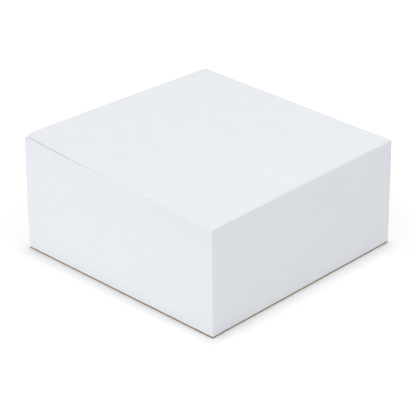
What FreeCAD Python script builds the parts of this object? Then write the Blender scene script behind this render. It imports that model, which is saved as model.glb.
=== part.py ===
"""Memo cube: a square block of plain white note sheets on a thin card.

The sheets and the card are held together by a film of padding glue on the +Y side. The other three
sides are free, and cut smooth. At the corner between -X and -Y, which is the far end of the free
front edge, air has come between the sheets, so the block stands higher there than at its other
three corners. The top sheet lifts clear of the rest at that same corner.

Lengths are in millimetres and +Z is up. The origin is the centre of the footprint, on the surface
that the card lies on. Each piece is written to parts/ as one STEP file.
"""

import FreeCAD
import Part

import os

# Driving dimensions.
SHEET_WIDTH = 90.0       # of every sheet and of the card, along X
SHEET_DEPTH = 90.0       # of every sheet and of the card, along Y, out from the glued side
SHEET_COUNT = 400        # sheets in the block, the top one included
PAPER_THICKNESS = 0.1    # one sheet of 80 g/m2 note paper
BOARD_THICKNESS = 0.5    # the card under the sheets
GLUE_THICKNESS = 0.2     # the film of padding glue, once dry
CORNER_RISE = 3.2        # air between the sheets at the raised corner
TOP_SHEET_AIR = 0.05     # air under the top sheet where it lies flat
LIFT_HEIGHT = 1.0        # how much further it is off the rest at the raised corner
LIFT_LENGTH = 62.0       # stretch of the front edge over which the top sheet bends up

# Bezier heights of a strip that is bent by a force at its free end, as shares of its lift.
BEND_SHAPE = (0.0, 0.0, 0.5, 1.0)

# Places that follow from them. The glue counts in the footprint, which the origin is centred on.
RIGHT = SHEET_WIDTH / 2
LEFT = RIGHT - SHEET_WIDTH
FRONT = -(SHEET_DEPTH + GLUE_THICKNESS) / 2
BACK = FRONT + SHEET_DEPTH
BLOCK_TOP = BOARD_THICKNESS + (SHEET_COUNT - 1) * PAPER_THICKNESS
TOP_SHEET_BASE = BLOCK_TOP + TOP_SHEET_AIR
PAD_TOP = TOP_SHEET_BASE + PAPER_THICKNESS
LIFT_START = 1 - LIFT_LENGTH / SHEET_WIDTH


def slab(front_outline, back_outline):
    """Join an outline at the front to its match at the back by straight lines along Y."""
    return Part.makeLoft([front_outline, back_outline], True, True)


def block_outline(y, corner_rise):
    """Outline of the sheets under the top one at depth y, with its left end raised."""
    return Part.makePolygon([
        FreeCAD.Vector(RIGHT, y, BOARD_THICKNESS),
        FreeCAD.Vector(LEFT, y, BOARD_THICKNESS),
        FreeCAD.Vector(LEFT, y, BLOCK_TOP + corner_rise),
        FreeCAD.Vector(RIGHT, y, BLOCK_TOP),
        FreeCAD.Vector(RIGHT, y, BOARD_THICKNESS),
    ])


def sheet_edges(y, z, corner_rise, lift):
    """Edges of one face of the top sheet at depth y, right to left: the flat stretch, the bent one."""
    def point(share, lift_share):
        height = z + corner_rise * share + lift * lift_share
        return FreeCAD.Vector(RIGHT - SHEET_WIDTH * share, y, height)

    bend = Part.BezierCurve()
    spans = len(BEND_SHAPE) - 1
    bend.setPoles([
        point(LIFT_START + (1 - LIFT_START) * index / spans, lift_share)
        for index, lift_share in enumerate(BEND_SHAPE)
    ])
    return [Part.makeLine(point(0, 0), point(LIFT_START, 0)), bend.toShape()]


def top_sheet_outline(y, corner_rise, lift):
    """Outline of the top sheet at depth y: its underside, its face, and the two ends."""
    under_flat, under_bend = sheet_edges(y, TOP_SHEET_BASE, corner_rise, lift)
    over_flat, over_bend = sheet_edges(y, PAD_TOP, corner_rise, lift)
    left_end = Part.makeLine(under_bend.lastVertex().Point, over_bend.lastVertex().Point)
    right_end = Part.makeLine(over_flat.firstVertex().Point, under_flat.firstVertex().Point)
    return Part.Wire([under_flat, under_bend, left_end, over_bend, over_flat, right_end])


def make_backing_board():
    """The card: as wide and deep as the sheets, and flush with them."""
    corner = FreeCAD.Vector(LEFT, FRONT, 0)
    return Part.makeBox(SHEET_WIDTH, SHEET_DEPTH, BOARD_THICKNESS, corner)


def make_sheet_block():
    """All the sheets under the top one, as one solid that rises to the raised corner."""
    return slab(block_outline(FRONT, CORNER_RISE), block_outline(BACK, 0))


def make_top_sheet():
    """The top sheet: loose on the rest, and lifted towards the raised corner."""
    return slab(top_sheet_outline(FRONT, CORNER_RISE, LIFT_HEIGHT), top_sheet_outline(BACK, 0, 0))


def make_binding_glue():
    """The film of glue over the back edges of the card and of every sheet."""
    corner = FreeCAD.Vector(LEFT, BACK, 0)
    return Part.makeBox(SHEET_WIDTH, GLUE_THICKNESS, PAD_TOP, corner)


PIECES = {
    "backing_board": make_backing_board(),
    "sheet_block": make_sheet_block(),
    "top_sheet": make_top_sheet(),
    "binding_glue": make_binding_glue(),
}

os.makedirs("parts", exist_ok=True)
for node, shape in PIECES.items():
    shape.exportStep(f"parts/{node}.step")
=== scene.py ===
"""Looks of the memo cube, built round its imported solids.

The block of sheets, the loose top sheet, the card and the film of glue are each built here as one
closed mesh that stands for its solid. Every length is in metres, in the solids' own frame: the
glued side faces +Y, which is the back, and the raised corner is the front left one.
"""

import logging
import math
from abc import ABC, abstractmethod
from dataclasses import dataclass, field
from enum import Enum
from typing import Any

import bpy
from bpy.types import Material, Node, NodeOutputs, NodeSocket, NodeTree, Object
from mathutils import Matrix, Vector


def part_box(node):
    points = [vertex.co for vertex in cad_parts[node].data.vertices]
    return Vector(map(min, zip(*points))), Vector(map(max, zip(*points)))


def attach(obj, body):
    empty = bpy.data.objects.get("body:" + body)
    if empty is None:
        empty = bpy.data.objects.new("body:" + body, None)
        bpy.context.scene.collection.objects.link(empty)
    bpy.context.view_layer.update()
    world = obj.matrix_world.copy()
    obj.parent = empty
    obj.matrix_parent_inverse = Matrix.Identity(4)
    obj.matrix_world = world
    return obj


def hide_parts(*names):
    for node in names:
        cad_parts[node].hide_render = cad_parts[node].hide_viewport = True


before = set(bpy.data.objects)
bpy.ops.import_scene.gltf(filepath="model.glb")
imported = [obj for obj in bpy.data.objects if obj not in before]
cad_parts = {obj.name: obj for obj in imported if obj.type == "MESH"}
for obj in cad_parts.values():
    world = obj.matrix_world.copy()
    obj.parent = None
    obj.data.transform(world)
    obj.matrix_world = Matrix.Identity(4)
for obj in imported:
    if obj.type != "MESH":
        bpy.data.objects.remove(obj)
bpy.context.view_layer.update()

log = logging.getLogger("memo_cube")

MM = 0.001
BAKE_MAP = "OFBake"          # the name of the map that a piece brings of its own, for baking
LEVEL = "sheet_level"        # height up the block, counted in sheets

MATH = "ShaderNodeMath"
VECTOR_MATH = "ShaderNodeVectorMath"
NOISE = "ShaderNodeTexNoise"
# Sockets of one name go by number: a Mix node's two numbers are 2 and 3, and its two colours 6 and 7.
MIX = "ShaderNodeMix"
MIXED_COLOUR = 2             # the output that gives the mixed colour


def add_node(
    tree: NodeTree, kind: str, inputs: dict[int | str, Any] | None = None, **settings: Any
) -> Node:
    """Add a node with its settings, values and links.

    Args:
        tree: The material's or the modifier's node tree.
        kind: The node's type name.
        inputs: What each input socket gets, by its number or name: a value, a socket to link from,
            or a node whose first output is linked.
        settings: Attributes to set on the node, before its sockets are touched.

    Returns:
        The new node.
    """
    node = tree.nodes.new(kind)
    for name, value in settings.items():
        setattr(node, name, value)
    for key, value in (inputs or {}).items():
        socket = node.inputs[key]
        if isinstance(value, Node):
            value = value.outputs[0]
        if isinstance(value, NodeSocket):
            tree.links.new(value, socket)
        else:
            socket.default_value = value
    return node


def linear(hex_colour: str) -> tuple[float, float, float, float]:
    """Turn an sRGB hex colour into linear light, by the standard's own curve.

    Args:
        hex_colour: Six hex digits, with or without a leading hash.

    Returns:
        Red, green, blue and an alpha of 1.
    """
    digits = hex_colour.lstrip("#")
    shares = [int(digits[at:at + 2], 16) / 255 for at in (0, 2, 4)]
    red, green, blue = (s / 12.92 if s <= 0.04045 else ((s + 0.055) / 1.055) ** 2.4 for s in shares)
    return red, green, blue, 1.0


def eye_rays(tree: NodeTree) -> Node:
    """Add nodes that tell rays of the eye from rays that light a surface.

    Args:
        tree: The material's or the world's node tree.

    Returns:
        A node whose output is 1 for what the eye sees, straight, mirrored or through glass.
    """
    ray = add_node(tree, "ShaderNodeLightPath").outputs
    straight = add_node(tree, MATH, {
        0: ray["Is Camera Ray"], 1: ray["Is Glossy Ray"],
    }, operation="MAXIMUM")
    return add_node(tree, MATH, {0: straight, 1: ray["Is Transmission Ray"]}, operation="MAXIMUM")


def direction(azimuth: float, elevation: float) -> Vector:
    """Return which way a lamp or camera lies, seen from what it is turned to.

    Args:
        azimuth: Degrees round the object, from straight in front towards its right.
        elevation: Degrees above the floor.

    Returns:
        The direction, of length 1.
    """
    turn = math.radians(azimuth)
    lift = math.radians(elevation)
    return Vector((
        math.sin(turn) * math.cos(lift), -math.cos(turn) * math.cos(lift), math.sin(lift),
    ))


class Corner(Enum):
    """The block's corners, as signs along X and Y."""

    FRONT_LEFT = (-1, -1)
    FRONT_RIGHT = (1, -1)
    BACK_RIGHT = (1, 1)
    BACK_LEFT = (-1, 1)


# ---------------------------------------------------------------------------------- finishes


@dataclass(frozen=True)
class Finish(ABC):
    """One finish: how a real material's surface looks."""

    name: str

    def material(self) -> Material:
        """Build the material, or return the one already built.

        Returns:
            The finish as a Blender material.
        """
        made = bpy.data.materials.get(self.name)
        if made is None:
            made = bpy.data.materials.new(self.name)
            made.use_nodes = True
            made.node_tree.nodes.clear()
            shader = self.shade(made.node_tree)
            add_node(made.node_tree, "ShaderNodeOutputMaterial", {"Surface": shader})
        return made

    @abstractmethod
    def shade(self, tree: NodeTree) -> Node:
        """Add the finish's nodes to tree and return its surface shader."""


@dataclass(frozen=True)
class TonedFinish(Finish):
    """A finish whose colour runs between two tones, over a fine relief."""

    roughness: float
    ior: float = 1.5
    specular: float = 0.5        # 0.5 is all that the IOR gives: loose fibres give less
    relief: float = 0.02 * MM
    relief_strength: float = 0.2

    def tones(
        self,
        tree: NodeTree,
        pattern: Node,
        ends: tuple[float, float],
        first: str,
        second: str,
    ) -> NodeSocket:
        """Add nodes that colour a pattern with two tones.

        Args:
            tree: The material's node tree.
            pattern: The node whose value picks the tone.
            ends: The values that get the first tone alone and the second alone.
            first: The first tone, in hex.
            second: The second tone, in hex.

        Returns:
            The socket that gives the colour.
        """
        share = add_node(tree, "ShaderNodeMapRange", {
            "Value": pattern, "From Min": ends[0], "From Max": ends[1],
        })
        mixed = add_node(tree, MIX, {
            "Factor": share, 6: linear(first), 7: linear(second),
        }, data_type="RGBA")
        return mixed.outputs[MIXED_COLOUR]

    def surface(self, tree: NodeTree, colour: NodeSocket, height: Node) -> Node:
        """Add the surface shader and its relief.

        Args:
            tree: The material's node tree.
            colour: The socket that gives the colour.
            height: The node that gives the relief.

        Returns:
            The surface shader.
        """
        uneven = add_node(tree, "ShaderNodeBump", {
            "Height": height, "Strength": self.relief_strength, "Distance": self.relief,
        })
        return add_node(tree, "ShaderNodeBsdfPrincipled", {
            "Base Color": colour,
            "Normal": uneven,
            "Roughness": self.roughness,
            "IOR": self.ior,
            "Specular IOR Level": self.specular,
        })


@dataclass(frozen=True)
class SheetFace(TonedFinish):
    """Wood-free offset paper, 80 g/m2, machine finished and uncoated.

    The brightener in it gives the eye a cool white. Its surface is dead matt, with a faint cloudy
    formation that shows where the pulp lay thicker, and single fibres that catch a little light.
    """

    name: str = "uncoated_paper_face"
    roughness: float = 0.92
    specular: float = 0.25
    relief_strength: float = 0.25
    thick: str = "#EBEDF1"
    thin: str = "#EEF1F5"
    tone_ends: tuple[float, float] = (0.3, 0.7)
    cloud: float = 7.0 * MM
    cloud_share: float = 0.6
    fibre: float = 0.5 * MM      # real fibres are 1 mm by 0.03 mm: drawn wider, so that they show
    fibre_stretch: float = 0.3   # fibres run along Y, 3 times as long as they are wide
    noise_turn: float = 0.35     # in radians, so that the noise's own grid lies askew to the sheet
    lets_through: float = 0.64   # at each face, of the light that a lamp sends through the sheet

    def shade(self, tree: NodeTree) -> Node:
        """Add the paper's nodes.

        Args:
            tree: The material's node tree.

        Returns:
            The surface shader.
        """
        place = add_node(tree, "ShaderNodeTexCoord").outputs["Object"]
        clouds = add_node(tree, NOISE, {
            "Vector": place, "Scale": 1 / self.cloud, "Detail": 3.0, "Roughness": 0.55,
        })
        turned = add_node(tree, "ShaderNodeMapping", {
            "Vector": place,
            "Rotation": (0.0, 0.0, self.noise_turn),
            "Scale": (1.0, self.fibre_stretch, 1.0),
        })
        fibres = add_node(tree, NOISE, {
            "Vector": turned, "Scale": 1 / self.fibre, "Detail": 2.0, "Distortion": 1.2,
        })
        pattern = add_node(tree, MIX, {
            "Factor": 1 - self.cloud_share, 2: clouds, 3: fibres,
        }, data_type="FLOAT")
        colour = self.tones(tree, pattern, self.tone_ends, self.thick, self.thin)
        paper = self.surface(tree, colour, fibres)
        # One sheet stops only part of a lamp's light: what it passes brightens the gap under it.
        from_lamp = add_node(tree, "ShaderNodeLightPath").outputs["Is Shadow Ray"]
        passed = (self.lets_through, self.lets_through, self.lets_through, 1.0)
        seen_through = add_node(tree, "ShaderNodeBsdfTransparent", {"Color": passed})
        return add_node(tree, "ShaderNodeMixShader", {0: from_lamp, 1: paper, 2: seen_through})


@dataclass(frozen=True)
class TrimmedEdges(TonedFinish):
    """The cut edges of the same paper, guillotined as one block.

    Each sheet's edge is a shade lighter or darker than the next, bundles drift in tone together,
    and the knife leaves fine upright marks. The cut is matt, as cool as the faces and a trace darker.
    """

    name: str = "trimmed_paper_edges"
    roughness: float = 0.95
    specular: float = 0.2
    shaded: str = "#E9ECF1"
    bright: str = "#EEF0F4"
    tone_ends: tuple[float, float] = (0.25, 0.75)
    single_share: float = 0.35   # of a sheet's own tone, the rest being its bundle's
    bundle: float = 9.0          # sheets in a bundle that share a tone
    drift: float = 26.0 * MM     # how far along an edge a bundle keeps its tone
    knife: float = 0.7 * MM      # between knife marks: real ones are finer, and would not show
    knife_share: float = 0.25
    knife_stretch: float = 0.04  # marks run up the block, 25 times as long as they are wide

    def shade(self, tree: NodeTree) -> Node:
        """Add the edges' nodes.

        Args:
            tree: The material's node tree.

        Returns:
            The surface shader.
        """
        place = add_node(tree, "ShaderNodeTexCoord").outputs["Object"]
        level = add_node(tree, "ShaderNodeAttribute", attribute_name=LEVEL).outputs["Fac"]
        sheet = add_node(tree, MATH, {0: level}, operation="FLOOR")
        single = add_node(tree, "ShaderNodeTexWhiteNoise", {"W": sheet}, noise_dimensions="1D")
        bundle = add_node(tree, MATH, {0: sheet, 1: self.bundle}, operation="DIVIDE")
        drift = add_node(tree, NOISE, {
            "Vector": place, "W": bundle, "Scale": 1 / self.drift, "Detail": 2.0,
        }, noise_dimensions="4D")
        upright = add_node(tree, "ShaderNodeMapping", {
            "Vector": place, "Scale": (1.0, 1.0, self.knife_stretch),
        })
        marks = add_node(tree, NOISE, {"Vector": upright, "Scale": 1 / self.knife, "Detail": 2.0})
        streaks = add_node(tree, MIX, {
            "Factor": self.single_share, 2: drift, 3: single,
        }, data_type="FLOAT")
        pattern = add_node(tree, MIX, {
            "Factor": self.knife_share, 2: streaks, 3: marks,
        }, data_type="FLOAT")
        colour = self.tones(tree, pattern, self.tone_ends, self.shaded, self.bright)
        return self.surface(tree, colour, marks)


@dataclass(frozen=True)
class Greyboard(TonedFinish):
    """Unlined greyboard, pressed from waste paper.

    The eye sees a warm, slightly yellow brown with darker and paler flecks of old print and fibre,
    and a soft furry edge where it was cut.
    """

    name: str = "greyboard"
    roughness: float = 0.97
    specular: float = 0.15
    relief: float = 0.05 * MM
    relief_strength: float = 0.5
    pulp: str = "#82602F"
    pale_fleck: str = "#A68A56"
    pale_ends: tuple[float, float] = (0.45, 0.75)
    pulp_size: float = 1.6 * MM
    dark_fleck: str = "#503D22"
    dark_share: float = 0.7      # at the middle of a dark fleck
    dark_ends: tuple[float, float] = (0.12, 0.3)
    fleck_size: float = 0.7 * MM

    def shade(self, tree: NodeTree) -> Node:
        """Add the board's nodes.

        Args:
            tree: The material's node tree.

        Returns:
            The surface shader.
        """
        place = add_node(tree, "ShaderNodeTexCoord").outputs["Object"]
        pulp = add_node(tree, NOISE, {
            "Vector": place, "Scale": 1 / self.pulp_size, "Detail": 4.0, "Roughness": 0.65,
        })
        flecks = add_node(tree, "ShaderNodeTexVoronoi", {
            "Vector": place, "Scale": 1 / self.fleck_size, "Randomness": 1.0,
        })
        dark = add_node(tree, "ShaderNodeMapRange", {
            "Value": flecks.outputs["Distance"],
            "From Min": self.dark_ends[0], "From Max": self.dark_ends[1],
            "To Min": self.dark_share, "To Max": 0.0,
        })
        ground = self.tones(tree, pulp, self.pale_ends, self.pulp, self.pale_fleck)
        flecked = add_node(tree, MIX, {
            "Factor": dark, 6: ground, 7: linear(self.dark_fleck),
        }, data_type="RGBA")
        return self.surface(tree, flecked.outputs[MIXED_COLOUR], pulp)


@dataclass(frozen=True)
class PaddingGlue(TonedFinish):
    """Padding compound, a PVA glue brushed on in two coats and left to dry.

    It dries to a milky skin with a satin shine, a trace warmer where it lies thick, and long brush
    strokes show in it.
    """

    name: str = "padding_glue"
    roughness: float = 0.42
    ior: float = 1.47
    relief: float = 0.05 * MM
    relief_strength: float = 0.35
    thin_coat: str = "#E6E8E8"
    thick_coat: str = "#EDEEEC"
    tone_ends: tuple[float, float] = (0.3, 0.7)
    stroke: float = 1.2 * MM
    stroke_stretch: float = 0.1  # strokes run along the side, 10 times as long as they are wide

    def shade(self, tree: NodeTree) -> Node:
        """Add the glue's nodes.

        Args:
            tree: The material's node tree.

        Returns:
            The surface shader.
        """
        place = add_node(tree, "ShaderNodeTexCoord").outputs["Object"]
        along = add_node(tree, "ShaderNodeMapping", {
            "Vector": place, "Scale": (self.stroke_stretch, 1.0, 1.0),
        })
        strokes = add_node(tree, NOISE, {
            "Vector": along, "Scale": 1 / self.stroke, "Detail": 4.0, "Distortion": 0.4,
        })
        colour = self.tones(tree, strokes, self.tone_ends, self.thin_coat, self.thick_coat)
        return self.surface(tree, colour, strokes)


@dataclass(frozen=True)
class MattSweep(Finish):
    """Matt white vinyl, the studio's sweep: white to the eye, with the object's near shadow kept, and
    painted light further out over the lamps' longer shadows.
    """

    name: str = "matt_white_sweep"
    colour: str = "#EFEFEF"
    glow: float = 0.122          # added for the eye alone, so that the open floor reads as white
    # Painted light: the glow grows away from the object and covers the longer shadows that the lamps
    # cast on the floor.
    far_glow: float = 1.0
    near_reach: float = 0.06     # from the object's middle to where the glow begins to grow
    far_reach: float = 0.17      # and to where it is full

    def shade(self, tree: NodeTree) -> Node:
        """Add the sweep's nodes.

        Args:
            tree: The material's node tree.

        Returns:
            The surface shader.
        """
        vinyl = add_node(tree, "ShaderNodeBsdfDiffuse", {"Color": linear(self.colour)})
        place = add_node(tree, "ShaderNodeTexCoord").outputs["Object"]
        reach = add_node(tree, VECTOR_MATH, {0: place}, operation="LENGTH").outputs["Value"]
        level = add_node(tree, "ShaderNodeMapRange", {
            "Value": reach, "From Min": self.near_reach, "From Max": self.far_reach,
            "To Min": self.glow, "To Max": self.far_glow,
        }, interpolation_type="SMOOTHSTEP")
        strength = add_node(tree, MATH, {0: eye_rays(tree), 1: level}, operation="MULTIPLY")
        glow = add_node(tree, "ShaderNodeEmission", {"Color": linear("#FFFFFF"), "Strength": strength})
        return add_node(tree, "ShaderNodeAddShader", {0: vinyl, 1: glow})


# ------------------------------------------------------------------------------------- pieces


@dataclass
class Piece(ABC):
    """A piece of the memo cube that a node tree grows, and that stands for one solid."""

    name: str
    node: str
    slot: str
    finish: Finish

    @abstractmethod
    def inputs(self) -> dict[str, tuple[str, Any]]:
        """Name each input of the tree, with its socket type and the value it gets."""

    @abstractmethod
    def grow(self, tree: NodeTree, given: NodeOutputs) -> Node:
        """Add the nodes that make the shape, and return the last of them."""

    def box(self) -> tuple[Vector, Vector]:
        """Return the lowest and highest corners of the solid that the piece stands for."""
        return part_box(self.node)

    def tree(self) -> NodeTree:
        """Build the piece's tree, from its named inputs to Realize Instances and Set Material.

        Returns:
            The geometry node tree.
        """
        tree = bpy.data.node_groups.new(self.name, "GeometryNodeTree")
        tree.interface.new_socket("Geometry", in_out="OUTPUT", socket_type="NodeSocketGeometry")
        for label, (kind, _) in self.inputs().items():
            tree.interface.new_socket(label, in_out="INPUT", socket_type=kind)
        tree.interface.new_socket("Finish", in_out="INPUT", socket_type="NodeSocketMaterial")
        given = add_node(tree, "NodeGroupInput").outputs
        shape = self.grow(tree, given)
        real = add_node(tree, "GeometryNodeRealizeInstances", {"Geometry": shape})
        dressed = add_node(tree, "GeometryNodeSetMaterial", {
            "Geometry": real, "Material": given["Finish"],
        })
        add_node(tree, "NodeGroupOutput", {0: dressed})
        return tree

    def build(self) -> Object:
        """Grow the piece, turn it into a plain mesh and put it on its body.

        Returns:
            The finished piece.
        """
        tree = self.tree()
        made = bpy.data.objects.new(self.name, bpy.data.meshes.new(self.name))
        bpy.context.scene.collection.objects.link(made)
        modifier = made.modifiers.new("grow", "NODES")
        modifier.node_group = tree
        values = {label: value for label, (_, value) in self.inputs().items()}
        values["Finish"] = self.finish.material()
        for socket in tree.interface.items_tree:
            if socket.in_out == "INPUT":
                modifier[socket.identifier] = values[socket.name]
        bpy.context.view_layer.update()
        evaluated = made.evaluated_get(bpy.context.evaluated_depsgraph_get())
        plain = bpy.data.meshes.new_from_object(evaluated)
        made.modifiers.remove(modifier)
        made.data = plain
        plain.name = self.name
        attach(made, "root")
        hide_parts(self.node)
        log.info("%s: %d faces", self.name, len(plain.polygons))
        return made


@dataclass
class RaisedPiece(Piece):
    """A piece that stands higher towards the raised corner, as a flat sheet does that was twisted.

    Its tree works on a plain block first, whose X and Y run from -1 to 1 across the footprint.
    """

    raised: Corner = Corner.FRONT_LEFT
    corner_rise: float = 3.2 * MM

    def towards_corner(self, tree: NodeTree, place: Node) -> NodeOutputs:
        """Add nodes for how far a point lies towards the raised corner.

        Args:
            tree: The piece's tree.
            place: A node that gives X and Y from -1 to 1.

        Returns:
            Outputs whose X and Y are 0 at the side across from the corner and 1 at its own side.
        """
        sign_x, sign_y = self.raised.value
        halves = add_node(tree, VECTOR_MATH, {
            0: place, 1: (sign_x / 2, sign_y / 2, 0.0), 2: (0.5, 0.5, 0.0),
        }, operation="MULTIPLY_ADD")
        return add_node(tree, "ShaderNodeSeparateXYZ", {0: halves}).outputs


@dataclass
class SheetStack(RaisedPiece):
    """All the sheets under the top one, as one closed skin with a groove between every two.

    The skin is a tube of rings, three to a sheet: the low and high edges of the sheet's cut side,
    and the bottom of the groove above it. Towards the raised corner air comes between the sheets,
    evenly for the most part, and the rest at a few gaps that come closer together further up.
    """

    name: str = "sheet_stack"
    node: str = "sheet_block"
    slot: str = "paper"
    finish: Finish = field(default_factory=TrimmedEdges)
    sheets: int = 399
    side_steps: int = 15
    scatter: float = 0.03 * MM
    wander: float = 18.0 * MM    # along a side, from one turn of a sheet's scatter to the next
    groove: float = 0.02 * MM
    even_air: float = 0.92       # share of the air that is spread over all the sheets
    even_power: float = 1.4      # of both powers: the higher it is, the further up the air lies
    gaps: float = 9.0
    gap_power: float = 2.5
    gap_depth: float = 1.5       # a gap goes this many times deeper than it is open
    seed: float = 4.0

    SIDES = 4.0
    RINGS = 3.0                  # to a sheet
    GROOVE_RING = 2.0            # the third of them, counted from 0
    EDGE_LOW = 0.08              # the cut side's low edge, in sheets
    EDGE_HEIGHT = 0.84           # from there to its high edge
    SHEET_DRAW = 0.61            # from one sheet's place in the scatter's noise to the next
    JUST_OVER = 0.0001           # keeps a whole number from being rounded down
    STRIP = (0.5, 0.24, 0.0)     # one side of the wall on the bake map
    MARGIN = (0.0, 0.005, 0.0)
    CAP = (0.245, 0.245, 0.0)    # half an end on the bake map
    CAP_CENTRES = ((0.25, 0.75, 0.0), (0.75, 0.75, 0.0))

    def inputs(self) -> dict[str, tuple[str, Any]]:
        """Name the tree's inputs.

        Returns:
            Each input's socket type and value, by its name.
        """
        low, high = self.box()
        height = high.z - low.z - self.corner_rise
        return {
            "Sheets": ("NodeSocketInt", self.sheets),
            "Side steps": ("NodeSocketInt", self.side_steps),
            "Half size": ("NodeSocketVector", ((high.x - low.x) / 2, (high.y - low.y) / 2, 0.0)),
            "Centre": ("NodeSocketVector", ((high.x + low.x) / 2, (high.y + low.y) / 2, low.z)),
            "Paper": ("NodeSocketFloat", height / self.sheets),
            "Corner rise": ("NodeSocketFloat", self.corner_rise),
            "Even air": ("NodeSocketFloat", self.even_air),
            "Gaps": ("NodeSocketFloat", self.gaps),
            "Gap depth": ("NodeSocketFloat", self.gap_depth),
            "Scatter": ("NodeSocketFloat", self.scatter),
            "Wander": ("NodeSocketFloat", self.wander),
            "Groove": ("NodeSocketFloat", self.groove),
            "Seed": ("NodeSocketFloat", self.seed),
        }

    def grow(self, tree: NodeTree, given: NodeOutputs) -> Node:
        """Add the nodes of the skin.

        Args:
            tree: The piece's tree.
            given: Its inputs.

        Returns:
            The node that gives the finished skin.
        """
        # The rings count from 0, and no groove lies above the last sheet.
        last_ring = add_node(tree, MATH, {
            0: given["Sheets"], 1: self.RINGS, 2: -2.0,
        }, operation="MULTIPLY_ADD")
        wall = self.wall(tree, given, last_ring)
        top, bottom = self.ends(tree, given, last_ring)
        block = add_node(tree, "GeometryNodeJoinGeometry", {0: wall})
        tree.links.new(top.outputs[0], block.inputs[0])
        tree.links.new(bottom.outputs[0], block.inputs[0])
        # The wall's last column meets its first here, and the ends meet the wall.
        closed = add_node(tree, "GeometryNodeMergeByDistance", {"Geometry": block, "Distance": 0.01})
        return self.raise_sheets(tree, given, closed)

    def wall(self, tree: NodeTree, given: NodeOutputs, last_ring: Node) -> Node:
        """Add nodes for the four sides of a block, 2 wide and deep and one unit high for each ring.

        Args:
            tree: The piece's tree.
            given: Its inputs.
            last_ring: The number of the top ring.

        Returns:
            The node that gives the sides, with their bake map.
        """
        columns = add_node(tree, MATH, {
            0: given["Side steps"], 1: self.SIDES, 2: 1.0,
        }, operation="MULTIPLY_ADD")
        rings = add_node(tree, MATH, {0: last_ring, 1: 1.0}, operation="ADD")
        wall = add_node(tree, "GeometryNodeMeshGrid", {
            "Size X": 1.0, "Size Y": 1.0, "Vertices X": columns, "Vertices Y": rings,
        })
        here = add_node(tree, "GeometryNodeInputPosition")
        shares = add_node(tree, VECTOR_MATH, {0: here, 1: (0.5, 0.5, 0.0)}, operation="ADD")
        unrolled = add_node(tree, "ShaderNodeSeparateXYZ", {0: shares}).outputs
        round_it = add_node(tree, MATH, {0: unrolled["X"], 1: self.SIDES}, operation="MULTIPLY")
        level = add_node(tree, MATH, {0: unrolled["Y"], 1: last_ring}, operation="MULTIPLY")
        # Two sides of the wall fill a strip of the map, and the two strips lie one above the other.
        side = add_node(tree, "GeometryNodeFieldOnDomain", {0: round_it}, domain="FACE")
        strip = add_node(tree, MATH, {0: side, 1: 0.5}, operation="MULTIPLY")
        strip = add_node(tree, MATH, {0: strip}, operation="FLOOR")
        across = add_node(tree, MATH, {0: strip, 1: -2.0, 2: round_it}, operation="MULTIPLY_ADD")
        up = add_node(tree, MATH, {0: strip, 1: unrolled["Y"]}, operation="ADD")
        on_map = add_node(tree, "ShaderNodeCombineXYZ", {0: across, 1: up})
        on_map = add_node(tree, VECTOR_MATH, {
            0: on_map, 1: self.STRIP, 2: self.MARGIN,
        }, operation="MULTIPLY_ADD")
        wall = add_node(tree, "GeometryNodeStoreNamedAttribute", {
            "Geometry": wall, "Name": BAKE_MAP, "Value": on_map,
        }, data_type="FLOAT2", domain="CORNER")
        # The sides go round as 0 to 4. X is 2 - 2|round - 1.5| and Y is 2 - 2|round - 2.5|, each held
        # between -1 and 1: out along one side, held along the next, and back along the opposite one.
        wound = add_node(tree, "ShaderNodeCombineXYZ", {0: round_it, 1: round_it})
        wound = add_node(tree, VECTOR_MATH, {0: wound, 1: (1.5, 2.5, 0.0)}, operation="SUBTRACT")
        wound = add_node(tree, VECTOR_MATH, {0: wound}, operation="ABSOLUTE")
        wound = add_node(tree, VECTOR_MATH, {
            0: wound, 1: (-2.0, -2.0, 0.0), 2: (2.0, 2.0, 0.0),
        }, operation="MULTIPLY_ADD")
        wound = add_node(tree, VECTOR_MATH, {0: wound, 1: (1.0, 1.0, 0.0)}, operation="MINIMUM")
        wound = add_node(tree, VECTOR_MATH, {0: wound, 1: (-1.0, -1.0, 0.0)}, operation="MAXIMUM")
        raised = add_node(tree, "ShaderNodeCombineXYZ", {2: level})
        wound = add_node(tree, VECTOR_MATH, {0: wound, 1: raised}, operation="ADD")
        return add_node(tree, "GeometryNodeSetPosition", {"Geometry": wall, "Position": wound})

    def ends(self, tree: NodeTree, given: NodeOutputs, last_ring: Node) -> tuple[Node, Node]:
        """Add nodes for the block's top and bottom.

        Args:
            tree: The piece's tree.
            given: Its inputs.
            last_ring: The number of the top ring.

        Returns:
            The nodes that give the top and the bottom, with their bake map.
        """
        here = add_node(tree, "GeometryNodeInputPosition")
        points = add_node(tree, MATH, {0: given["Side steps"], 1: 1.0}, operation="ADD")
        cap = add_node(tree, "GeometryNodeMeshGrid", {
            "Size X": 2.0, "Size Y": 2.0, "Vertices X": points, "Vertices Y": points,
        })
        caps = []
        for centre in self.CAP_CENTRES:
            on_map = add_node(tree, VECTOR_MATH, {
                0: here, 1: self.CAP, 2: centre,
            }, operation="MULTIPLY_ADD")
            caps.append(add_node(tree, "GeometryNodeStoreNamedAttribute", {
                "Geometry": cap, "Name": BAKE_MAP, "Value": on_map,
            }, data_type="FLOAT2", domain="CORNER"))
        top_height = add_node(tree, "ShaderNodeCombineXYZ", {2: last_ring})
        top = add_node(tree, "GeometryNodeSetPosition", {"Geometry": caps[0], "Offset": top_height})
        bottom = add_node(tree, "GeometryNodeFlipFaces", {"Mesh": caps[1]})
        return top, bottom

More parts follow.
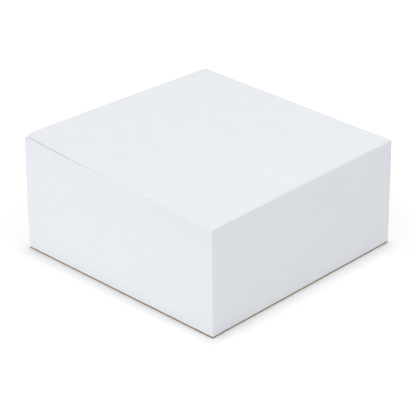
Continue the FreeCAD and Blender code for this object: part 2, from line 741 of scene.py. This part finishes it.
    def raise_sheets(self, tree: NodeTree, given: NodeOutputs, block: Node) -> Node:
        """Add nodes that turn the plain block's rings into sheets at their true places.

        Args:
            tree: The piece's tree.
            given: Its inputs.
            block: The node that gives the plain block.

        Returns:
            The node that gives the finished skin.
        """
        here = add_node(tree, "GeometryNodeInputPosition")
        towards = self.towards_corner(tree, here)
        near = add_node(tree, MATH, {0: towards["X"], 1: towards["Y"]}, operation="MULTIPLY")
        ring = add_node(tree, "ShaderNodeSeparateXYZ", {0: here}).outputs["Z"]
        ring = add_node(tree, MATH, {0: ring}, operation="ROUND")
        # Which sheet a ring belongs to, and which of that sheet's rings it is.
        third = add_node(tree, MATH, {
            0: ring, 1: 1 / self.RINGS, 2: 0.5 / self.RINGS,
        }, operation="MULTIPLY_ADD")
        sheet = add_node(tree, MATH, {0: third}, operation="FLOOR")
        part = add_node(tree, MATH, {0: sheet, 1: -self.RINGS, 2: ring}, operation="MULTIPLY_ADD")
        in_groove = add_node(tree, MATH, {
            0: part, 1: self.GROOVE_RING - 0.5,
        }, operation="GREATER_THAN")
        share = add_node(tree, MATH, {
            0: part, 1: self.EDGE_HEIGHT, 2: self.EDGE_LOW,
        }, operation="MULTIPLY_ADD")
        share = add_node(tree, MATH, {0: share, 1: 1.0}, operation="MINIMUM")
        level = add_node(tree, MATH, {0: sheet, 1: share}, operation="ADD")
        # A groove lies half way up the air between its two sheets.
        above = add_node(tree, MATH, {0: sheet, 1: 1.0}, operation="ADD")
        air_here = self.air(tree, given, sheet)
        air_above = self.air(tree, given, above)
        gap = add_node(tree, MATH, {0: air_above, 1: air_here}, operation="SUBTRACT")
        gap = add_node(tree, MATH, {0: gap, 1: in_groove}, operation="MULTIPLY")
        air = add_node(tree, MATH, {0: gap, 1: 0.5, 2: air_here}, operation="MULTIPLY_ADD")
        rise = add_node(tree, MATH, {0: near, 1: given["Corner rise"]}, operation="MULTIPLY")
        lifted = add_node(tree, MATH, {0: air, 1: rise}, operation="MULTIPLY")
        height = add_node(tree, MATH, {
            0: level, 1: given["Paper"], 2: lifted,
        }, operation="MULTIPLY_ADD")
        # How far in from the trimmed side: the sheet's own scatter, or the bottom of a groove.
        across = add_node(tree, VECTOR_MATH, {0: here, 1: given["Half size"]}, operation="MULTIPLY")
        across = add_node(tree, VECTOR_MATH, {0: across, 1: given["Wander"]}, operation="DIVIDE")
        draw = add_node(tree, MATH, {
            0: sheet, 1: self.SHEET_DRAW, 2: given["Seed"],
        }, operation="MULTIPLY_ADD")
        wander = add_node(tree, NOISE, {
            "Vector": across, "W": draw, "Scale": 1.0, "Detail": 1.0,
        }, noise_dimensions="4D")
        scatter = add_node(tree, MATH, {0: wander, 1: given["Scatter"]}, operation="MULTIPLY")
        open_by = add_node(tree, MATH, {0: gap, 1: rise}, operation="MULTIPLY")
        groove = add_node(tree, MATH, {
            0: open_by, 1: given["Gap depth"], 2: given["Groove"],
        }, operation="MULTIPLY_ADD")
        groove = add_node(tree, MATH, {0: groove, 1: given["Scatter"]}, operation="ADD")
        inset = add_node(tree, MIX, {"Factor": in_groove, 2: scatter, 3: groove}, data_type="FLOAT")
        reach = add_node(tree, VECTOR_MATH, {0: given["Half size"], 1: inset}, operation="SUBTRACT")
        flat = add_node(tree, VECTOR_MATH, {0: here, 1: (1.0, 1.0, 0.0)}, operation="MULTIPLY")
        spot = add_node(tree, VECTOR_MATH, {
            0: flat, 1: reach, 2: given["Centre"],
        }, operation="MULTIPLY_ADD")
        up = add_node(tree, "ShaderNodeCombineXYZ", {2: height})
        spot = add_node(tree, VECTOR_MATH, {0: spot, 1: up}, operation="ADD")
        marked = add_node(tree, "GeometryNodeStoreNamedAttribute", {
            "Geometry": block, "Name": LEVEL, "Value": level,
        }, data_type="FLOAT", domain="POINT")
        return add_node(tree, "GeometryNodeSetPosition", {"Geometry": marked, "Position": spot})

    def air(self, tree: NodeTree, given: NodeOutputs, sheet: Node) -> Node:
        """Add nodes for the share of the raised corner's air that lies under one sheet.

        Args:
            tree: The piece's tree.
            given: Its inputs.
            sheet: The sheet's number, from 0 at the card.

        Returns:
            A node whose output is 0 at the card and 1 at the uppermost sheet.
        """
        last = add_node(tree, MATH, {0: given["Sheets"], 1: 1.0}, operation="SUBTRACT")
        high = add_node(tree, MATH, {0: sheet, 1: last}, operation="DIVIDE", use_clamp=True)
        even = add_node(tree, MATH, {0: high, 1: self.even_power}, operation="POWER")
        step = add_node(tree, MATH, {0: high, 1: self.gap_power}, operation="POWER")
        step = add_node(tree, MATH, {
            0: step, 1: given["Gaps"], 2: self.JUST_OVER,
        }, operation="MULTIPLY_ADD")
        step = add_node(tree, MATH, {0: step}, operation="FLOOR")
        step = add_node(tree, MATH, {0: step, 1: given["Gaps"]}, operation="DIVIDE")
        return add_node(tree, MIX, {
            "Factor": given["Even air"], 2: step, 3: even,
        }, data_type="FLOAT")


@dataclass
class TopSheet(RaisedPiece):
    """The top sheet: a full-thickness sheet that bends up off the rest at the raised corner.

    The curl draws its tip in a little from both edges, and leaves the block's corner bare.
    """

    name: str = "lifted_sheet"
    node: str = "top_sheet"
    slot: str = "paper"
    finish: Finish = field(default_factory=SheetFace)
    paper: float = 0.1 * MM
    lift_height: float = 1.0 * MM
    lift_share: float = 62 / 90  # of the front edge, from the raised corner to where it lies flat
    tip_draw: float = 0.6 * MM
    tip_power: float = 8.0       # the higher it is, the nearer to the tip the edges stay straight
    side_points: int = 73

    def inputs(self) -> dict[str, tuple[str, Any]]:
        """Name the tree's inputs.

        Returns:
            Each input's socket type and value, by its name.
        """
        low, high = self.box()
        return {
            "Side points": ("NodeSocketInt", self.side_points),
            "Half size": ("NodeSocketVector", ((high.x - low.x) / 2, (high.y - low.y) / 2, self.paper)),
            "Centre": ("NodeSocketVector", (
                (high.x + low.x) / 2, (high.y + low.y) / 2, low.z + self.paper / 2,
            )),
            "Corner rise": ("NodeSocketFloat", self.corner_rise),
            "Lift height": ("NodeSocketFloat", self.lift_height),
            "Lift share": ("NodeSocketFloat", self.lift_share),
            "Tip draw": ("NodeSocketFloat", self.tip_draw),
            "Tip power": ("NodeSocketFloat", self.tip_power),
        }

    def grow(self, tree: NodeTree, given: NodeOutputs) -> Node:
        """Add the nodes of the bent sheet.

        Args:
            tree: The piece's tree.
            given: Its inputs.

        Returns:
            The node that gives the bent sheet.
        """
        slab = add_node(tree, "GeometryNodeMeshCube", {
            "Size": (2.0, 2.0, 1.0), "Vertices X": given["Side points"],
            "Vertices Y": given["Side points"], "Vertices Z": 2,
        })
        here = add_node(tree, "GeometryNodeInputPosition")
        towards = self.towards_corner(tree, here)
        near = add_node(tree, MATH, {0: towards["X"], 1: towards["Y"]}, operation="MULTIPLY")
        # A strip held flat up to where the lift starts, and bent from there by a force at its end:
        # its height is (3 s^2 - s^3) / 2, s being the share of the lift's length.
        start = add_node(tree, MATH, {0: 1.0, 1: given["Lift share"]}, operation="SUBTRACT")
        along = add_node(tree, MATH, {0: towards["X"], 1: start}, operation="SUBTRACT")
        along = add_node(tree, MATH, {
            0: along, 1: given["Lift share"],
        }, operation="DIVIDE", use_clamp=True)
        square = add_node(tree, MATH, {0: along, 1: along}, operation="MULTIPLY")
        slack = add_node(tree, MATH, {0: along, 1: -0.5, 2: 1.5}, operation="MULTIPLY_ADD")
        bend = add_node(tree, MATH, {0: square, 1: slack}, operation="MULTIPLY")
        bend = add_node(tree, MATH, {0: bend, 1: towards["Y"]}, operation="MULTIPLY")
        bend = add_node(tree, MATH, {0: bend, 1: given["Lift height"]}, operation="MULTIPLY")
        height = add_node(tree, MATH, {
            0: near, 1: given["Corner rise"], 2: bend,
        }, operation="MULTIPLY_ADD")
        up = add_node(tree, "ShaderNodeCombineXYZ", {2: height})
        inset = add_node(tree, MATH, {0: near, 1: given["Tip power"]}, operation="POWER")
        inset = add_node(tree, MATH, {0: inset, 1: given["Tip draw"]}, operation="MULTIPLY")
        inset = add_node(tree, "ShaderNodeCombineXYZ", {0: inset, 1: inset})
        reach = add_node(tree, VECTOR_MATH, {0: given["Half size"], 1: inset}, operation="SUBTRACT")
        spot = add_node(tree, VECTOR_MATH, {
            0: here, 1: reach, 2: given["Centre"],
        }, operation="MULTIPLY_ADD")
        spot = add_node(tree, VECTOR_MATH, {0: spot, 1: up}, operation="ADD")
        return add_node(tree, "GeometryNodeSetPosition", {"Geometry": slab, "Position": spot})


@dataclass
class BackingBoard(Piece):
    """The card under the sheets, cut with them: its edge is crushed a little and frayed."""

    name: str = "greyboard_back"
    node: str = "backing_board"
    slot: str = "board"
    finish: Finish = field(default_factory=Greyboard)
    fray: float = 0.08 * MM
    fray_length: float = 0.9 * MM
    crush: float = 0.04 * MM
    crush_power: float = 4.0     # the higher it is, the nearer to the card's faces it is crushed
    side_points: int = 151
    layers: int = 5
    seed: float = 2.0

    def inputs(self) -> dict[str, tuple[str, Any]]:
        """Name the tree's inputs.

        Returns:
            Each input's socket type and value, by its name.
        """
        low, high = self.box()
        return {
            "Side points": ("NodeSocketInt", self.side_points),
            "Layers": ("NodeSocketInt", self.layers),
            "Half size": ("NodeSocketVector", tuple((high - low) / 2)),
            "Centre": ("NodeSocketVector", tuple((high + low) / 2)),
            "Fray": ("NodeSocketFloat", self.fray),
            "Fray length": ("NodeSocketFloat", self.fray_length),
            "Crush": ("NodeSocketFloat", self.crush),
            "Seed": ("NodeSocketFloat", self.seed),
        }

    def grow(self, tree: NodeTree, given: NodeOutputs) -> Node:
        """Add the nodes of the card.

        Args:
            tree: The piece's tree.
            given: Its inputs.

        Returns:
            The node that gives the frayed card.
        """
        slab = add_node(tree, "GeometryNodeMeshCube", {
            "Size": (2.0, 2.0, 2.0), "Vertices X": given["Side points"],
            "Vertices Y": given["Side points"], "Vertices Z": given["Layers"],
        })
        here = add_node(tree, "GeometryNodeInputPosition")
        across = add_node(tree, VECTOR_MATH, {0: here, 1: given["Half size"]}, operation="MULTIPLY")
        across = add_node(tree, VECTOR_MATH, {0: across, 1: given["Fray length"]}, operation="DIVIDE")
        tufts = add_node(tree, NOISE, {
            "Vector": across, "W": given["Seed"], "Scale": 1.0, "Detail": 2.0,
        }, noise_dimensions="4D")
        height = add_node(tree, "ShaderNodeSeparateXYZ", {0: here}).outputs["Z"]
        rim = add_node(tree, MATH, {0: height, 1: self.crush_power}, operation="POWER")
        crushed = add_node(tree, MATH, {0: rim, 1: given["Crush"]}, operation="MULTIPLY")
        inset = add_node(tree, MATH, {0: tufts, 1: given["Fray"], 2: crushed}, operation="MULTIPLY_ADD")
        inset = add_node(tree, "ShaderNodeCombineXYZ", {0: inset, 1: inset})
        reach = add_node(tree, VECTOR_MATH, {0: given["Half size"], 1: inset}, operation="SUBTRACT")
        spot = add_node(tree, VECTOR_MATH, {
            0: here, 1: reach, 2: given["Centre"],
        }, operation="MULTIPLY_ADD")
        return add_node(tree, "GeometryNodeSetPosition", {"Geometry": slab, "Position": spot})


@dataclass
class GlueFilm(Piece):
    """The dried film of glue down the back: thin at its rims, and ridged by the brush."""

    name: str = "glue_film"
    node: str = "binding_glue"
    slot: str = "glue"
    finish: Finish = field(default_factory=PaddingGlue)
    thinnest: float = 0.35       # share of the film's full thickness
    full_stroke: float = 0.8     # value of the strokes' noise that gives the full thickness
    stroke: float = 2.2 * MM
    stroke_stretch: float = 0.08  # strokes run along X, about 12 times as long as they are wide
    rim: float = 1.6 * MM
    rim_power: float = 0.5       # below 1, the film swells fast from its rims
    columns: int = 181
    rows: int = 204
    seed: float = 7.0

    def inputs(self) -> dict[str, tuple[str, Any]]:
        """Name the tree's inputs.

        Returns:
            Each input's socket type and value, by its name.
        """
        low, high = self.box()
        return {
            "Columns": ("NodeSocketInt", self.columns),
            "Rows": ("NodeSocketInt", self.rows),
            "Size": ("NodeSocketVector", tuple(high - low)),
            "Low corner": ("NodeSocketVector", tuple(low)),
            "Thinnest": ("NodeSocketFloat", self.thinnest),
            "Stroke": ("NodeSocketFloat", self.stroke),
            "Rim": ("NodeSocketFloat", self.rim),
            "Seed": ("NodeSocketFloat", self.seed),
        }

    def grow(self, tree: NodeTree, given: NodeOutputs) -> Node:
        """Add the nodes of the film.

        Args:
            tree: The piece's tree.
            given: Its inputs.

        Returns:
            The node that gives the brushed film.
        """
        slab = add_node(tree, "GeometryNodeMeshCube", {
            "Size": (1.0, 1.0, 1.0), "Vertices X": given["Columns"],
            "Vertices Y": 2, "Vertices Z": given["Rows"],
        })
        here = add_node(tree, "GeometryNodeInputPosition")
        share = add_node(tree, VECTOR_MATH, {0: here, 1: (0.5, 0.5, 0.5)}, operation="ADD")
        across = add_node(tree, VECTOR_MATH, {0: here, 1: given["Size"]}, operation="MULTIPLY")
        across = add_node(tree, VECTOR_MATH, {0: across, 1: given["Stroke"]}, operation="DIVIDE")
        across = add_node(tree, VECTOR_MATH, {
            0: across, 1: (self.stroke_stretch, 0.0, 1.0),
        }, operation="MULTIPLY")
        strokes = add_node(tree, NOISE, {
            "Vector": across, "W": given["Seed"], "Scale": 1.0, "Detail": 3.0,
        }, noise_dimensions="4D")
        # Distance to the nearest rim, as a share of the rim's width.
        mirrored = add_node(tree, VECTOR_MATH, {0: here}, operation="ABSOLUTE")
        inward = add_node(tree, VECTOR_MATH, {0: (0.5, 0.5, 0.5), 1: mirrored}, operation="SUBTRACT")
        inward = add_node(tree, VECTOR_MATH, {0: inward, 1: given["Size"]}, operation="MULTIPLY")
        inward = add_node(tree, VECTOR_MATH, {0: inward, 1: given["Rim"]}, operation="DIVIDE")
        inward = add_node(tree, "ShaderNodeSeparateXYZ", {0: inward}).outputs
        nearest = add_node(tree, MATH, {0: inward["X"], 1: inward["Z"]}, operation="MINIMUM")
        rim = add_node(tree, MATH, {0: nearest, 1: self.rim_power}, operation="POWER", use_clamp=True)
        body = add_node(tree, MATH, {0: strokes, 1: rim}, operation="MULTIPLY")
        film = add_node(tree, "ShaderNodeMapRange", {
            "Value": body, "From Min": 0.0, "From Max": self.full_stroke,
            "To Min": given["Thinnest"], "To Max": 1.0,
        })
        outward = add_node(tree, "ShaderNodeCombineXYZ", {0: 1.0, 1: film, 2: 1.0})
        spot = add_node(tree, VECTOR_MATH, {0: share, 1: outward}, operation="MULTIPLY")
        spot = add_node(tree, VECTOR_MATH, {
            0: spot, 1: given["Size"], 2: given["Low corner"],
        }, operation="MULTIPLY_ADD")
        return add_node(tree, "GeometryNodeSetPosition", {"Geometry": slab, "Position": spot})


# ------------------------------------------------------------------------------------- studio


@dataclass(frozen=True)
class SoftBox:
    """A square soft lamp, aimed at a point.

    Its level is the light that it alone gives a white surface that faces it, where 1 is white.
    """

    name: str
    azimuth: float
    elevation: float
    distance: float
    size: float
    level: float

    def build(self, aim: Vector) -> Object:
        """Hang the lamp.

        Args:
            aim: The point it is aimed at.

        Returns:
            The lamp's object.
        """
        away = direction(self.azimuth, self.elevation)
        lamp = bpy.data.lights.new(self.name, "AREA")
        lamp.shape = "SQUARE"
        lamp.size = self.size
        lamp.energy = self.level * math.pi**2 * self.distance**2
        made = bpy.data.objects.new(self.name, lamp)
        made.location = aim + away * self.distance
        made.rotation_mode = "QUATERNION"
        made.rotation_quaternion = away.to_track_quat("Z", "Y")
        made.visible_camera = False
        bpy.context.scene.collection.objects.link(made)
        return made


@dataclass
class Studio:
    """The floor, the lamps, the dome of soft light and the camera."""

    floor_half: float = 3.0
    floor_drop: float = 0.01 * MM    # keeps the floor clear of the card
    dome: float = 0.281
    lamps: tuple[SoftBox, ...] = (
        SoftBox("overhead_box", azimuth=216, elevation=86.2, distance=3.0, size=0.75, level=0.5),
        SoftBox("left_box", azimuth=-32, elevation=10, distance=1.3, size=0.5, level=0.555),
        SoftBox("right_box", azimuth=98, elevation=24, distance=1.6, size=0.6, level=0.324),
    )
    camera_place: tuple[float, float, float] = (0.4443, -0.4593, 0.3536)
    camera_azimuth: float = 44.08
    camera_elevation: float = 27.93
    camera_roll: float = -0.38
    camera_clip: tuple[float, float] = (0.01, 20.0)
    lens_mm: float = 177.5
    sensor_mm: float = 36.0

    def lay_floor(self) -> Object:
        """Lay the sweep under the object.

        Returns:
            The floor's object.
        """
        reach = self.floor_half
        corners = [(-reach, -reach), (reach, -reach), (reach, reach), (-reach, reach)]
        mesh = bpy.data.meshes.new("sweep")
        mesh.from_pydata([(x, y, -self.floor_drop) for x, y in corners], [], [(0, 1, 2, 3)])
        mesh.materials.append(MattSweep().material())
        floor = bpy.data.objects.new("sweep", mesh)
        bpy.context.scene.collection.objects.link(floor)
        return floor

    def light(self) -> None:
        """Hang the lamps and light the dome, which the eye sees as plain white."""
        low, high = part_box("sheet_block")
        aim = (low + high) / 2
        for lamp in self.lamps:
            lamp.build(aim)
        world = bpy.data.worlds.new("white_dome")
        bpy.context.scene.world = world
        world.use_nodes = True
        tree = world.node_tree
        tree.nodes.clear()
        strength = add_node(tree, "ShaderNodeMapRange", {
            "Value": eye_rays(tree), "To Min": self.dome, "To Max": 1.0,
        })
        glow = add_node(tree, "ShaderNodeBackground", {"Color": linear("#FFFFFF"), "Strength": strength})
        add_node(tree, "ShaderNodeOutputWorld", {"Surface": glow})

    def place_camera(self) -> Object:
        """Set the camera up, a little above the block and square to its front right corner.

        Returns:
            The camera's object.
        """
        lens = bpy.data.cameras.new("camera")
        lens.lens = self.lens_mm
        lens.sensor_width = self.sensor_mm
        lens.clip_start, lens.clip_end = self.camera_clip
        camera = bpy.data.objects.new("camera", lens)
        back = direction(self.camera_azimuth, self.camera_elevation)
        turn = back.to_track_quat("Z", "Y").to_matrix().to_4x4()
        roll = Matrix.Rotation(math.radians(self.camera_roll), 4, "Z")
        camera.matrix_world = Matrix.Translation(self.camera_place) @ turn @ roll
        bpy.context.scene.collection.objects.link(camera)
        bpy.context.scene.camera = camera
        return camera


def main() -> None:
    """Build the memo cube and its studio, and report each piece."""
    logging.basicConfig(level=logging.INFO, format="%(name)s %(message)s")
    bpy.context.scene.view_settings.view_transform = "Standard"
    studio = Studio()
    studio.place_camera()
    studio.lay_floor()
    studio.light()
    log.info("studio: camera, sweep, %d lamps and a dome", len(studio.lamps))
    for piece in (BackingBoard(), SheetStack(), TopSheet(), GlueFilm()):
        piece.build()


if __name__ == "__main__":
    main()
